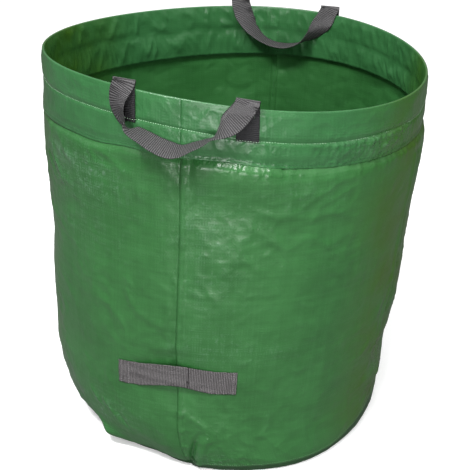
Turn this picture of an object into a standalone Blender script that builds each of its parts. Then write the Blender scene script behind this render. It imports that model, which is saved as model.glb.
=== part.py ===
"""Round pop-up garden waste bag: two sewn wall panels on a turned-up base disc, a doubled hem
round a sprung hoop, two webbing handles over the rim and a grab handle low on the front.

Metres, +Z up. The origin is the middle of the base, on the ground. The front, with the grab
handle, faces -Y. Directions round the bag are turns in degrees: 0 is the front, 90 is +X.
"""
import math

import bmesh
import bpy

# Body of the bag
RIM_RADIUS = 0.335
RIM_HEIGHT = 0.730
RIM_OVAL = 0.0137
RIM_OVAL_TURN = 101.0
RIM_THIRD = 0.0038
RIM_THIRD_TURN = 56.0
RIM_LEAN = 0.055
RIM_LEAN_TURN = 106.0
RIM_WAVE = 0.0085
RIM_WAVE_TURN = -24.0
RIM_SHIFT = 0.006
BOTTOM_TAPER = 0.0225
SWELL = 0.003
CORNER_INSET = 0.022
CORNER_HEIGHT = 0.070
FOOT_THIRD = 0.010
FOOT_THIRD_TURN = 31.0
FOOT_THIRD_HEIGHT = 0.130
SAG = 0.026
SAG_HEIGHT = 0.115
TAPER_CURVE = 3
OVAL_CURVE = 0.4
SAG_CURVE = 1.5
FOOT_CURVE = 2

# Cloth, tape, hoop and thread
CLOTH = 0.0008
WEBBING = 0.0016
TAPE = 0.0014
HOOP = 0.0012
THREAD = 0.0008
GAP = 0.0003
LIP_CLEARANCE = 0.0009

# Hem, hoop and seams
HEM_DEPTH = 0.104
HEM_ROW_DROP = 0.050
HEM_EDGE_ROW = 0.006
HEM_FLARE = 0.0006
HOOP_WIDTH = 0.042
HOOP_DROP = 0.004
HOOP_START_TURN = 140.0
HOOP_OVERLAP = 0.060
WALL_TOP_DROP = 0.058
WALL_FOOT = 0.028
SEAM_ALLOWANCE = 0.012
BASE_ROW_RISE = 0.006

# Carrying handles
WEBBING_WIDTH = 0.038
FRONT_HANDLE_TURN = 1.0
FRONT_HANDLE_SPREAD = 18.1
BACK_HANDLE_TURN = 177.6
BACK_HANDLE_SPREAD = 17.0
TAB_DROP = 0.055
CREASE_RISE = 0.012
LOOP_DROP = 0.082
LOOP_CORNER = 0.030
LOOP_STANDOFF = 0.005
INSIDE_LOOP_CLEARANCE = 0.0012

# Grab handle
GRAB_LENGTH = 0.226
GRAB_WIDTH = 0.048
GRAB_HEIGHT = 0.205
GRAB_RISE = 0.010
GRAB_SEWN = 0.028
GRAB_ROWS = (0.006, 0.022)
GRAB_BOW = 0.011

# Mesh fineness
HALF_STEPS = 32
RING_STEPS = 2 * HALF_STEPS
WALL_STEPS = 8
FOLD_STEPS = 3
LEG_STEPS = 4
CORNER_STEPS = 6
GRAB_STEPS = 14
WALL_ROW_CURVE = 1.25
BASE_RINGS = (0.0, 0.4, 0.98)
BASE_RISES = (0.002, 0.007, 0.015)
SHARP_ANGLE = 40.0
MERGE = 0.000001

# Looks: colour, roughness
GREEN_CLOTH = ((0.05, 0.25, 0.09), 0.35)
GREY_WEBBING = ((0.045, 0.045, 0.05), 0.85)
GREY_TAPE = ((0.12, 0.10, 0.11), 0.9)
WHITE_HOOP = ((0.7, 0.7, 0.68), 0.5)
PALE_THREAD = ((0.45, 0.6, 0.48), 0.8)
GREY_THREAD = ((0.25, 0.25, 0.26), 0.8)


# Shape of the standing bag

def cos_turn(turn):
    return math.cos(math.radians(turn))


def sin_turn(turn):
    return math.sin(math.radians(turn))


def turn_along(length):
    """Turn that a length along the rim takes."""
    return math.degrees(length / RIM_RADIUS)


def rim_height(turn):
    lean = RIM_LEAN * RIM_RADIUS * cos_turn(turn - RIM_LEAN_TURN)
    wave = RIM_WAVE * cos_turn(2 * (turn - RIM_WAVE_TURN))
    return RIM_HEIGHT - lean + wave


def foot_wave(turn, height):
    """How far the slumped foot stands out of round."""
    share = max(1 - max(height, 0.0) / FOOT_THIRD_HEIGHT, 0.0)
    return FOOT_THIRD * cos_turn(3 * (turn - FOOT_THIRD_TURN)) * share ** FOOT_CURVE


def wall_radius(turn, height):
    share = min(max(height / rim_height(turn), 0.0), 1.0)
    radius = RIM_RADIUS - BOTTOM_TAPER * (1 - share) ** TAPER_CURVE + SWELL * math.sin(math.pi * share)
    waves = RIM_OVAL * cos_turn(2 * (turn - RIM_OVAL_TURN))
    waves += RIM_THIRD * cos_turn(3 * (turn - RIM_THIRD_TURN))
    radius += waves * share ** OVAL_CURVE + foot_wave(turn, height)
    below_corner = max(1 - height / CORNER_HEIGHT, 0.0)
    return radius - CORNER_INSET * (1 - math.sqrt(1 - min(below_corner, 1.0) ** 2))


def sideways(height):
    """How far the wall stands off the base's middle, away from the side where the rim is low."""
    if height < SAG_HEIGHT:
        bump = math.sin(math.pi / 2 * max(height, 0.0) / SAG_HEIGHT)
    else:
        bump = max((RIM_HEIGHT - height) / (RIM_HEIGHT - SAG_HEIGHT), 0.0) ** SAG_CURVE
    return SAG * bump - RIM_SHIFT * height / RIM_HEIGHT


def place(turn, height, out=0.0):
    """Point at a turn and height, a distance out from the middle of the wall's cloth."""
    radius = wall_radius(turn, height) + out
    shift = -sideways(height)
    x = radius * sin_turn(turn) + shift * sin_turn(RIM_LEAN_TURN)
    y = -radius * cos_turn(turn) - shift * cos_turn(RIM_LEAN_TURN)
    return (x, y, height)


def place_drop(turn, drop, out=0.0):
    """The same, with the height given as a drop below the rim."""
    return place(turn, rim_height(turn) - drop, out)


def mix(start, end, share):
    return start + (end - start) * share


# Layers across the hem, as distances out from the middle of the wall's cloth
HOOP_SPIRAL = HOOP + GAP
HEM_INNER = -(HOOP / 2 + GAP + CLOTH / 2)
HOOP_TURNS = 1 + turn_along(HOOP_OVERLAP) / 360.0
HEM_OUTER = HOOP_SPIRAL * HOOP_TURNS + HOOP / 2 + GAP + CLOTH / 2
TAB_OUT = HEM_OUTER + HEM_FLARE + CLOTH / 2 + GAP + WEBBING / 2
THREAD_ON_HEM = HEM_OUTER + HEM_FLARE + CLOTH / 2 + GAP + THREAD / 2
THREAD_ON_TAB = TAB_OUT + WEBBING / 2 + GAP + THREAD / 2
GRAB_OUT = CLOTH / 2 + GAP + TAPE / 2
LAP = CLOTH + GAP

LIP_LOW = WALL_FOOT + SEAM_ALLOWANCE + LIP_CLEARANCE
SEAM_HALF_GAP = (CLOTH + GAP) / 2


# Making the pieces

def material(name, look):
    colour, roughness = look
    made = bpy.data.materials.new(name)
    made.use_nodes = True
    shader = made.node_tree.nodes["Principled BSDF"]
    shader.inputs["Base Color"].default_value = (*colour, 1.0)
    shader.inputs["Roughness"].default_value = roughness
    shader.inputs["Metallic"].default_value = 0.0
    made.diffuse_color = (*colour, 1.0)
    return made


def sheet(name, look, across, along, point, thickness, origin=(0.0, 0.0, 0.0), skip=None):
    """Solid of a thickness on a grid: point(i, j) gives the middle of the cloth.

    Each cell is cut along its shorter diagonal, so that lapped layers bend alike.
    """
    mesh = bpy.data.meshes.new(name)
    work = bmesh.new()
    bmesh.ops.create_grid(work, x_segments=across, y_segments=along, size=0.5)
    cells = {}
    for face in work.faces:
        middle = face.calc_center_median()
        cells[face] = (int((middle.x + 0.5) * across), int((middle.y + 0.5) * along))
    for vert in work.verts:
        i = round((vert.co.x + 0.5) * across)
        j = round((vert.co.y + 0.5) * along)
        spot = point(i, j)
        vert.co = [spot[axis] - origin[axis] for axis in range(3)]
    if skip:
        dropped = [face for face, cell in cells.items() if skip(*cell)]
        bmesh.ops.delete(work, geom=dropped, context="FACES")
    bmesh.ops.remove_doubles(work, verts=work.verts, dist=MERGE)
    bmesh.ops.triangulate(work, faces=work.faces, quad_method="SHORT_EDGE")
    work.to_mesh(mesh)
    work.free()
    mesh.shade_smooth()
    mesh.set_sharp_from_angle(angle=math.radians(SHARP_ANGLE))
    made = bpy.data.objects.new(name, mesh)
    made.location = origin
    bpy.context.collection.objects.link(made)
    made.data.materials.append(material(name, look))
    solid = made.modifiers.new("Thickness", "SOLIDIFY")
    solid.thickness = thickness
    solid.offset = 0.0
    solid.use_even_offset = True
    return made


def thread(name, look, points, closed=False):
    """Row of sewing thread through its points."""
    curve = bpy.data.curves.new(name, "CURVE")
    curve.dimensions = "3D"
    curve.bevel_depth = THREAD / 2
    curve.bevel_resolution = 0
    curve.use_fill_caps = not closed
    row = curve.splines.new("POLY")
    row.points.add(len(points) - 1)
    for spot, point in zip(row.points, points):
        spot.co = (*point, 1.0)
    row.use_cyclic_u = closed
    made = bpy.data.objects.new(name, curve)
    bpy.context.collection.objects.link(made)
    made.data.materials.append(material(name, look))
    return made


def half_turn(side, i):
    """Turn of step i round one half of the bag, kept clear of the seam at both ends."""
    margin = turn_along(SEAM_HALF_GAP)
    return side * min(max(180.0 * i / HALF_STEPS, margin), 180.0 - margin)


def wall_height(turn, j):
    """Height of the wall panel's row j: its foot, the lips' length, and its top in the hem."""
    lip_high = rim_height(turn) - HEM_DEPTH - LIP_CLEARANCE
    if j == 0:
        return WALL_FOOT
    if j == WALL_STEPS + 2:
        return rim_height(turn) - WALL_TOP_DROP
    return mix(LIP_LOW, lip_high, ((j - 1) / WALL_STEPS) ** WALL_ROW_CURVE)


def wall_panel(name, side):
    """Half of the wall, with a seam allowance turned in at the front and at the back."""
    last = HALF_STEPS + 1

    def point(i, j):
        turn = half_turn(side, min(max(i - 1, 0), HALF_STEPS))
        out = -SEAM_ALLOWANCE if i in (0, last + 1) else 0.0
        return place(turn, wall_height(turn, j), out)

    def beyond_lip(i, j):
        return i in (0, last) and j in (0, WALL_STEPS + 1)

    sheet(name, GREEN_CLOTH, last + 1, WALL_STEPS + 2, point, CLOTH, skip=beyond_lip)


def base_panel():
    """Round floor whose edge turns up inside the wall's foot."""
    flat_radius = RIM_RADIUS - BOTTOM_TAPER - CORNER_INSET - LAP
    rises = (*BASE_RISES, WALL_FOOT, WALL_FOOT + SEAM_ALLOWANCE)

    def point(i, j):
        turn = 360.0 * i / RING_STEPS
        if j < len(BASE_RINGS):
            radius = (flat_radius + foot_wave(turn, 0.0)) * BASE_RINGS[j]
            return (radius * sin_turn(turn), -radius * cos_turn(turn), CLOTH / 2)
        return place(turn, rises[j - len(BASE_RINGS)], -LAP)

    sheet("base_panel", GREEN_CLOTH, RING_STEPS, len(BASE_RINGS) + len(rises) - 1, point, CLOTH)


def hem_section():
    """The hem's cloth from its inner lower edge, over the rim, to its outer lower edge."""
    radius = (HEM_OUTER - HEM_INNER) / 2
    middle = (HEM_OUTER + HEM_INNER) / 2
    fold_drop = radius + CLOTH / 2
    section = [(HEM_INNER, HEM_DEPTH), (HEM_INNER, HEM_ROW_DROP), (HEM_INNER, fold_drop)]
    for step in range(1, FOLD_STEPS):
        angle = math.pi * step / FOLD_STEPS
        section.append((middle - radius * math.cos(angle), fold_drop - radius * math.sin(angle)))
    section.append((HEM_OUTER, fold_drop))
    section.append((HEM_OUTER, HEM_ROW_DROP))
    section.append((HEM_OUTER + HEM_FLARE, HEM_DEPTH))
    return section


def hem(name, side):
    section = hem_section()

    def point(i, j):
        out, drop = section[j]
        turn = half_turn(side, i)
        return place_drop(turn, drop, out)

    sheet(name, GREEN_CLOTH, HALF_STEPS, len(section) - 1, point, CLOTH)


def rim_hoop():
    """Sprung plastic strip in the hem's channel, its ends lapped."""
    length = 360.0 * HOOP_TURNS
    steps = math.ceil(length * RING_STEPS / 360.0)
    start = 360.0 / RING_STEPS * round(HOOP_START_TURN * RING_STEPS / 360.0)

    def point(i, j):
        along = min(360.0 * i / RING_STEPS, length)
        return place_drop(start + along, HOOP_DROP + HOOP_WIDTH * j, HOOP_SPIRAL * along / 360.0)

    sheet("rim_hoop", WHITE_HOOP, steps, 1, point, HOOP)


def crease_out(inside):
    """Where the line that a handle's loop swings about stands, out from the wall's cloth."""
    if inside:
        return (TAB_OUT + HEM_INNER) / 2
    return TAB_OUT + WEBBING / 2 + GAP


def handle_tab(name, middle_turn, inside):
    """End of a handle's webbing, sewn to the outside of the hem, up to the crease."""
    top_out = crease_out(inside) + GAP + WEBBING / 2 if inside else TAB_OUT
    drops = (TAB_DROP, TAB_DROP / 2, 0.0, GAP - CREASE_RISE)

    def point(i, j):
        turn = middle_turn + turn_along(mix(-WEBBING_WIDTH, WEBBING_WIDTH, i / 4) / 2)
        out = top_out if j == len(drops) - 1 else TAB_OUT
        return place_drop(turn, drops[j], out)

    sheet(name, GREY_WEBBING, 4, len(drops) - 1, point, WEBBING)


def loop_path(spread):
    """Middle line of a hanging loop, flat: along the rim, drop below it, and heading."""
    half_span = math.radians(spread) * RIM_RADIUS
    top = GAP - CREASE_RISE
    corner_drop = LOOP_DROP - LOOP_CORNER
    corner_side = half_span - LOOP_CORNER
    path = []
    for step in range(LEG_STEPS):
        path.append((-half_span, mix(top, corner_drop, step / LEG_STEPS), 0.0))
    for step in range(CORNER_STEPS):
        heading = math.pi / 2 * step / CORNER_STEPS
        along = -corner_side - LOOP_CORNER * math.cos(heading)
        path.append((along, corner_drop + LOOP_CORNER * math.sin(heading), heading))
    for step in range(LEG_STEPS):
        path.append((mix(-corner_side, 0.0, step / LEG_STEPS), LOOP_DROP, math.pi / 2))
    mirrored = [(-along, drop, math.pi - heading) for along, drop, heading in reversed(path)]
    return path + [(0.0, LOOP_DROP, math.pi / 2)] + mirrored


def handle_loop(name, middle_turn, spread, inside):
    """Free part of a handle, hanging from its crease."""
    path = loop_path(spread)
    sign = -1 if inside else 1
    top_out = crease_out(inside) + sign * (GAP + WEBBING / 2)
    rim_out = HEM_INNER - CLOTH / 2 - INSIDE_LOOP_CLEARANCE - WEBBING / 2 if inside else top_out
    ends = (middle_turn - spread, middle_turn + spread)
    axis = [place_drop(end, -CREASE_RISE, crease_out(inside)) for end in ends]
    origin = [(axis[0][k] + axis[1][k]) / 2 for k in range(3)]

    def point(i, j):
        along, drop, heading = path[i]
        reach = WEBBING_WIDTH * (j / 2 - 0.5)
        along += reach * math.cos(heading)
        drop -= reach * math.sin(heading)
        hang = min(max(drop, 0.0) / LOOP_DROP, 1.0)
        out = rim_out + sign * LOOP_STANDOFF * hang
        if drop < 0:
            out = mix(rim_out, top_out, drop / (GAP - CREASE_RISE))
        return place_drop(middle_turn + turn_along(along), drop, out)

    sheet(name, GREY_WEBBING, len(path) - 1, 2, point, WEBBING, origin)


def grab_height(along, across=0.0):
    """Height of the grab handle, which is sewn on a little askew, at a place on its tape."""
    return GRAB_HEIGHT + GRAB_RISE * along / GRAB_LENGTH + across


def grab_turn(along):
    """Turn of a point along the grab handle, measured from its middle on the wall there."""
    return math.degrees(along / wall_radius(0.0, GRAB_HEIGHT))


def grab_end(name, side):
    """Sewn end of the grab handle."""
    outer = GRAB_LENGTH / 2
    inner = outer - GRAB_SEWN

    def point(i, j):
        along = side * mix(inner, outer, i / 2)
        return place(grab_turn(along), grab_height(along, GRAB_WIDTH * (j / 2 - 0.5)), GRAB_OUT)

    sheet(name, GREY_TAPE, 2, 2, point, TAPE)
    for number, inset in enumerate(GRAB_ROWS, start=1):
        along = side * (outer - inset)
        out = GRAB_OUT + TAPE / 2 + GAP + THREAD / 2
        reach = GRAB_WIDTH / 2 - THREAD
        heights = [grab_height(along, across) for across in (-reach, 0.0, reach)]
        row = [place(grab_turn(along), height, out) for height in heights]
        thread(f"{name}_row_{number}", GREY_THREAD, row)


def grab_span():
    """Free middle of the grab handle, bowed off the wall."""
    half = GRAB_LENGTH / 2 - GRAB_SEWN - GAP
    reach = GRAB_WIDTH / 2
    ends = [place(grab_turn(end), grab_height(end, reach), GRAB_OUT) for end in (-half, half)]
    origin = [(ends[0][k] + ends[1][k]) / 2 for k in range(3)]

    def point(i, j):
        along = mix(-half, half, i / GRAB_STEPS)
        bow = GRAB_BOW * math.sin(math.pi * i / GRAB_STEPS) ** 2
        return place(grab_turn(along), grab_height(along, mix(-reach, reach, j / 2)), GRAB_OUT + bow)

    sheet("grab_handle_span", GREY_TAPE, GRAB_STEPS, 2, point, TAPE, origin)


def wrap(turn):
    return (turn + 180.0) % 360.0 - 180.0


def hem_row_points():
    """The hem's upper row, which climbs over the four handle tabs and catches them."""
    clear = turn_along(WEBBING_WIDTH / 2 + THREAD + GAP)
    step_up = turn_along(THREAD)
    front = (FRONT_HANDLE_TURN, FRONT_HANDLE_SPREAD)
    back = (BACK_HANDLE_TURN, BACK_HANDLE_SPREAD)
    tabs = [middle + side * spread for middle, spread in (front, back) for side in (-1, 1)]
    points = {}
    for step in range(RING_STEPS):
        turn = 360.0 * step / RING_STEPS - 180.0
        gaps = [abs(wrap(turn - tab)) for tab in tabs]
        if min(gaps) > clear + 2 * step_up:
            points[turn] = THREAD_ON_HEM
    for tab in tabs:
        for side in (-1, 1):
            points[wrap(tab + side * (clear + step_up))] = THREAD_ON_HEM
            points[wrap(tab + side * clear)] = THREAD_ON_TAB
            points[wrap(tab + side * clear / 2)] = THREAD_ON_TAB
    return [place_drop(turn, HEM_ROW_DROP, points[turn]) for turn in sorted(points)]


def ring_row(drop_or_height, out, from_rim):
    turns = [360.0 * step / RING_STEPS for step in range(RING_STEPS)]
    put = place_drop if from_rim else place
    return [put(turn, drop_or_height, out) for turn in turns]


def seam_row(name, middle_turn):
    """Thread down a seam, on the allowances inside the bag."""
    aside = turn_along(SEAM_HALF_GAP + CLOTH / 2 + GAP + THREAD / 2)
    turn = middle_turn + aside
    heights = [wall_height(turn, j) for j in range(1, WALL_STEPS + 2)]
    thread(name, PALE_THREAD, [place(turn, height, -SEAM_ALLOWANCE / 2) for height in heights])


def build():
    for old in list(bpy.data.objects):
        bpy.data.objects.remove(old, do_unlink=True)

    base_panel()
    for name, side in (("left", -1), ("right", 1)):
        wall_panel(f"{name}_wall_panel", side)
        hem(f"{name}_hem", side)
    rim_hoop()

    for name, side in (("left", -1), ("right", 1)):
        front_tab_turn = FRONT_HANDLE_TURN + side * FRONT_HANDLE_SPREAD
        handle_tab(f"front_handle_tab_{name}", front_tab_turn, False)
        back_tab_turn = BACK_HANDLE_TURN - side * BACK_HANDLE_SPREAD
        handle_tab(f"back_handle_tab_{name}", back_tab_turn, True)
    handle_loop("front_handle_loop", FRONT_HANDLE_TURN, FRONT_HANDLE_SPREAD, False)
    handle_loop("back_handle_loop", BACK_HANDLE_TURN, BACK_HANDLE_SPREAD, True)

    grab_end("grab_handle_end_left", -1)
    grab_end("grab_handle_end_right", 1)
    grab_span()

    thread("hem_row", PALE_THREAD, hem_row_points(), closed=True)
    edge_drop = HEM_DEPTH - HEM_EDGE_ROW
    thread("hem_edge_row", PALE_THREAD, ring_row(edge_drop, THREAD_ON_HEM, True), closed=True)
    base_out = CLOTH / 2 + GAP + THREAD / 2
    thread("base_row", PALE_THREAD, ring_row(WALL_FOOT + BASE_ROW_RISE, base_out, False), closed=True)
    seam_row("front_seam_row", 0.0)
    seam_row("back_seam_row", 180.0)


build()
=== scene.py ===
"""Round pop-up garden waste bag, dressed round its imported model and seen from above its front."""
from itertools import accumulate
from math import copysign, cos, degrees, exp, hypot, pi, radians, sin, sqrt

import bmesh
import bpy
from mathutils import Matrix, Vector, noise


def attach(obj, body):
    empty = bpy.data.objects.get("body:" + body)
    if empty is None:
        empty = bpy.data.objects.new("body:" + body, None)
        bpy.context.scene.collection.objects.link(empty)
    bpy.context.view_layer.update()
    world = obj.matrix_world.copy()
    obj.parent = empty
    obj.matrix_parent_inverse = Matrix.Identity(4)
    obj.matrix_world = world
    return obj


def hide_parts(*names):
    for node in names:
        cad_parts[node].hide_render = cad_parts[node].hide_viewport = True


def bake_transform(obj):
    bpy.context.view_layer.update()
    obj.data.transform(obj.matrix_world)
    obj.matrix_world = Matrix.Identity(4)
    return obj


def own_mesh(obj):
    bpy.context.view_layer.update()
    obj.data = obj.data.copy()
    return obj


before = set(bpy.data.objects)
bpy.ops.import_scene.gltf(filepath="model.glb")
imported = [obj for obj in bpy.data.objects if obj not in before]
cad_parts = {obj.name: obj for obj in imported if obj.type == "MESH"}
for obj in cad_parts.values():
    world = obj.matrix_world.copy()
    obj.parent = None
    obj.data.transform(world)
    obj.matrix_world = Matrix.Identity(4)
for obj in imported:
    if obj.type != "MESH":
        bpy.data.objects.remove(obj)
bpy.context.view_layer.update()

# Wall panels. Two halves of glossy coated tape cloth, each with its edges turned in and sewn flat
# behind the right-hand panel at the front and at the back. Use has pulled them out of round, and the
# cloth keeps the slack, puckers and sharp creases of having been folded away.

RIM_RADIUS = 0.335
RIM_HEIGHT = 0.73
RIM_OVAL, RIM_OVAL_TURN = 0.0137, 101.0
RIM_THIRD, RIM_THIRD_TURN = 0.0038, 56.0
RIM_LEAN, RIM_LEAN_TURN = 0.055, 106.0
RIM_WAVE, RIM_WAVE_TURN = 0.0085, -24.0
RIM_SHIFT = 0.006
BOTTOM_TAPER, TAPER_CURVE = 0.0225, 3.0
SWELL = 0.003
OVAL_CURVE = 0.4
CORNER_INSET, CORNER_HEIGHT = 0.022, 0.07
FOOT_THIRD, FOOT_THIRD_TURN = 0.01, 31.0
FOOT_THIRD_HEIGHT, FOOT_CURVE = 0.13, 2.0
SAG, SAG_HEIGHT, SAG_CURVE = 0.026, 0.115, 1.5


def cos_turn(turn):
    return cos(radians(turn))


def sin_turn(turn):
    return sin(radians(turn))


def clamped(value):
    return max(0.0, min(value, 1.0))


def rim_height(turn):
    """Height of the rim, which leans and waves a little, at a turn from the front towards the right."""
    lean = RIM_LEAN * RIM_RADIUS * cos_turn(turn - RIM_LEAN_TURN)
    return RIM_HEIGHT - lean + RIM_WAVE * cos_turn(2 * (turn - RIM_WAVE_TURN))


def foot_wave(turn, height):
    fade = max(1 - max(height, 0.0) / FOOT_THIRD_HEIGHT, 0.0) ** FOOT_CURVE
    return FOOT_THIRD * cos_turn(3 * (turn - FOOT_THIRD_TURN)) * fade


def wall_radius(turn, height):
    share = clamped(height / rim_height(turn))
    oval = RIM_OVAL * cos_turn(2 * (turn - RIM_OVAL_TURN)) + RIM_THIRD * cos_turn(3 * (turn - RIM_THIRD_TURN))
    radius = RIM_RADIUS - BOTTOM_TAPER * (1 - share) ** TAPER_CURVE
    radius += SWELL * sin(pi * share) + oval * share ** OVAL_CURVE + foot_wave(turn, height)
    corner = clamped(1 - height / CORNER_HEIGHT)
    return radius - CORNER_INSET * (1 - sqrt(1 - corner ** 2))


def sideways(height):
    """How far the bag has sagged to its left at a height."""
    if height < SAG_HEIGHT:
        bump = sin(pi / 2 * max(height, 0.0) / SAG_HEIGHT)
    else:
        bump = max((RIM_HEIGHT - height) / (RIM_HEIGHT - SAG_HEIGHT), 0.0) ** SAG_CURVE
    return SAG * bump - RIM_SHIFT * height / RIM_HEIGHT


def place(turn, height, out):
    """Point of the standing bag, a distance out from the middle of the wall's cloth."""
    radius = wall_radius(turn, height) + out
    shift = -sideways(height)
    return Vector((
        radius * sin_turn(turn) + shift * sin_turn(RIM_LEAN_TURN),
        -radius * cos_turn(turn) - shift * cos_turn(RIM_LEAN_TURN),
        height,
    ))


def place_drop(turn, drop, out):
    return place(turn, rim_height(turn) - drop, out)


def arc(turn):
    """Length along the cloth from the front seam."""
    return radians(turn) * RIM_RADIUS


def turn_of(length):
    return degrees(length / RIM_RADIUS)


def mix(start, end, share):
    return start + (end - start) * share


def ease(value, start, end):
    share = clamped((value - start) / (end - start))
    return share * share * (3 - 2 * share)


def between(value, start, full, fading, end):
    """Rises softly from start to full, and falls again from fading to end."""
    return ease(value, start, full) * (1 - ease(value, fading, end))


def hill(value, middle, reach):
    return exp(-((value - middle) / reach) ** 2)


HEM_EDGE, HEM_EDGE_LEAN = 0.1025, 0.0095
SEAM_BAND = 0.014
SEAM_TURNS = (0.0, 180.0, -180.0)
RIGHT_SIDE_LINE = ((81, 0.58), (80, 0.435), (77, 0.295), (73.5, 0.204), (72, 0.13))
LEFT_FOOT_LINE = ((-31, 0.032), (-33, 0.044), (-38, 0.075), (-44, 0.112))
CREASES = (
    # line of turns and heights, how far it stands out, its reach, and how far beside the line it lies
    (RIGHT_SIDE_LINE, 0.0045, 0.008, 0.0),
    (RIGHT_SIDE_LINE, -0.006, 0.016, 0.018),
    (LEFT_FOOT_LINE, 0.0038, 0.01, 0.0),
    (LEFT_FOOT_LINE, -0.0065, 0.018, -0.024),
    (((0.8, 0.01), (4.8, 0.06), (8.2, 0.105)), -0.009, 0.006, 0.0),
    (((2.5, 0.01), (6.5, 0.058), (10.5, 0.11)), 0.005, 0.008, 0.009),
    (((0.9, 0.04), (2.3, 0.07), (3.6, 0.11)), -0.003, 0.0042, 0.0),
    (((28.6, 0.632), (31.0, 0.617)), -0.0032, 0.0035, 0.0),
    (((24.0, 0.626), (29.5, 0.622)), 0.0026, 0.0045, 0.0),
    (((55.5, 0.642), (52.0, 0.618)), -0.0034, 0.0035, 0.0),
    (((58.0, 0.64), (55.0, 0.612)), 0.0026, 0.004, 0.0),
    (((62.0, 0.652), (60.0, 0.628)), -0.0022, 0.003, 0.0),
    (((-52.0, 0.59), (-47.0, 0.556), (-43.5, 0.52)), 0.0022, 0.004, 0.0),
    (((-56.0, 0.578), (-50.0, 0.54)), -0.002, 0.004, 0.0),
    (((-30.5, 0.625), (-27.5, 0.596)), 0.002, 0.004, 0.0),
    (((-34.0, 0.13), (-27.0, 0.085)), 0.002, 0.0035, 0.0),
    (((-28.0, 0.12), (-21.0, 0.07)), 0.0018, 0.0035, 0.0),
    (((-22.0, 0.1), (-17.0, 0.05)), -0.0018, 0.0035, 0.0),
)
DENTS = (
    # turn, height, their reaches, and how far it stands out
    (84, 0.172, 8, 0.026, -0.011),
    (80, 0.118, 9, 0.024, 0.006),
    (-68, 0.405, 12, 0.045, -0.003),
    (-58, 0.165, 9, 0.035, 0.0045),
    (-31, 0.027, 5.5, 0.018, 0.0125),
    (-13, 0.01, 7.5, 0.055, -0.0065),
    (-1, 0.205, 13, 0.06, -0.007),
)
CRUSHED = (
    # turn, height, their reaches, and how sharply the coating is crushed there
    (15, 0.03, 9, 0.016, 0.7),
    (35, 0.024, 12, 0.01, 0.4),
    (-26, 0.09, 10, 0.04, 0.4),
    (-47, 0.555, 7, 0.035, 0.55),
    (-29, 0.61, 6, 0.02, 0.5),
    (84, 0.15, 8, 0.04, 0.8),
    (57, 0.63, 9, 0.02, 0.6),
    (60, 0.655, 13, 0.02, 0.8),
    (34, 0.665, 12, 0.018, 0.55),
    (29, 0.622, 6, 0.012, 0.8),
    (3, 0.4, 3, 0.14, 0.15),
    (11, 0.09, 5, 0.035, 0.4),
    (-75, 0.4, 18, 0.16, 0.35),
    (-70, 0.12, 16, 0.07, 0.45),
)
# Patches of pale green painted sheen, put where the glossy coating catches the light.
SHEEN_PATCHES = (
    # turn, height, their reaches, and how strong the pale painted sheen is there
    (-32, 0.575, 15, 0.05, 1.7),
    (-35, 0.46, 15, 0.05, 0.5),
    (-48, 0.6, 10, 0.03, 0.8),
    (-10, 0.67, 10, 0.03, 0.9),
    (-36, 0.1, 15, 0.05, 1.00),
    (7, 0.535, 9, 0.06, 0.8),
    (9, 0.41, 9, 0.08, 0.7),
    (11, 0.285, 12, 0.035, 0.8),
    (32, 0.27, 9, 0.03, 0.45),
    (8, 0.035, 9, 0.02, 0.9),
    (-22, 0.085, 13, 0.04, 0.8),
    (4, 0.7, 13, 0.03, 0.7),
    (22, 0.69, 9, 0.02, 0.5),
    (56, 0.645, 10, 0.02, 1.1),
    (-42, 0.71, 12, 0.02, 0.4),
    (33, 0.575, 12, 0.03, 0.5),
    (-62, 0.18, 12, 0.05, 0.45),
)
# Painted sheen lies a little everywhere; the second value is the most painted sheen anywhere.
PALE_ALL_OVER, PALEST = 0.12, 1.9
FARTHEST = 2.5  # a crease or patch has no effect farther away than this many reaches


def crease_span(line, depth, reach, beside):
    """First and last turn that a crease touches."""
    far = turn_of(FARTHEST * reach + abs(beside))
    return min(line)[0] - far, max(line)[0] + far


CREASE_SPANS = [crease_span(*crease) for crease in CREASES]


def near_line(turn, height, line, reach, beside):
    """1 on a line and falling to 0 a reach away from it, on the cloth; it fades towards the line's end."""
    best = 0.0
    x = arc(turn) - beside
    pieces = len(line) - 1
    for number, ((turn_a, height_a), (turn_b, height_b)) in enumerate(zip(line, line[1:])):
        start, run, rise = arc(turn_a), arc(turn_b - turn_a), height_b - height_a
        share = clamped(((x - start) * run + (height - height_a) * rise) / (run * run + rise * rise))
        gap = hypot(x - start - run * share, height - height_a - rise * share)
        best = max(best, hill(gap, 0.0, reach) * (1 - ease((number + share) / pieces, 0.4, 1.0)))
    return best


def patches(places, turn, height):
    """Sum of soft patches, each strongest at its own turn and height."""
    total = 0.0
    for middle, level, reach, rise, strength in places:
        if abs(turn - middle) < FARTHEST * reach:
            total += strength * hill(turn, middle, reach) * hill(height, level, rise)
    return total


def creases_and_dents(turn, height):
    out = patches(DENTS, turn, height)
    for (line, depth, reach, beside), (first, last) in zip(CREASES, CREASE_SPANS):
        if first < turn < last:
            out += depth * near_line(turn, height, line, reach, beside)
    return out


def hem_edge(turn):
    """Drop of the hem's lower edge below the rim."""
    waves = 0.002 * hill(turn, -29.0, 7.0) - 0.0035 * hill(turn, -17.0, 7.0) - 0.006 * hill(turn, 12.0, 11.0)
    return HEM_EDGE - HEM_EDGE_LEAN * sin_turn(turn) + waves


def cloth_noise(turn, height, size, squeeze, seed):
    """Smooth noise on the round of the bag, of a size in metres, squeezed in height."""
    x, y = RIM_RADIUS * sin_turn(turn) / size, RIM_RADIUS * cos_turn(turn) / size
    return noise.noise((x, y, height * squeeze / size + seed))


def ridges(turn, height, size, squeeze, seed):
    """Sharp creases with soft slopes, from 0 to 1."""
    return max(1 - 2.2 * abs(cloth_noise(turn, height, size, squeeze, seed)), 0.0) ** 2


def gloss_band(turn):
    """Right of the front seam, the wall stands out sharply under the hem."""
    return between(turn, 2.8, 5.2, 20.0, 34.0)


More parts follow.
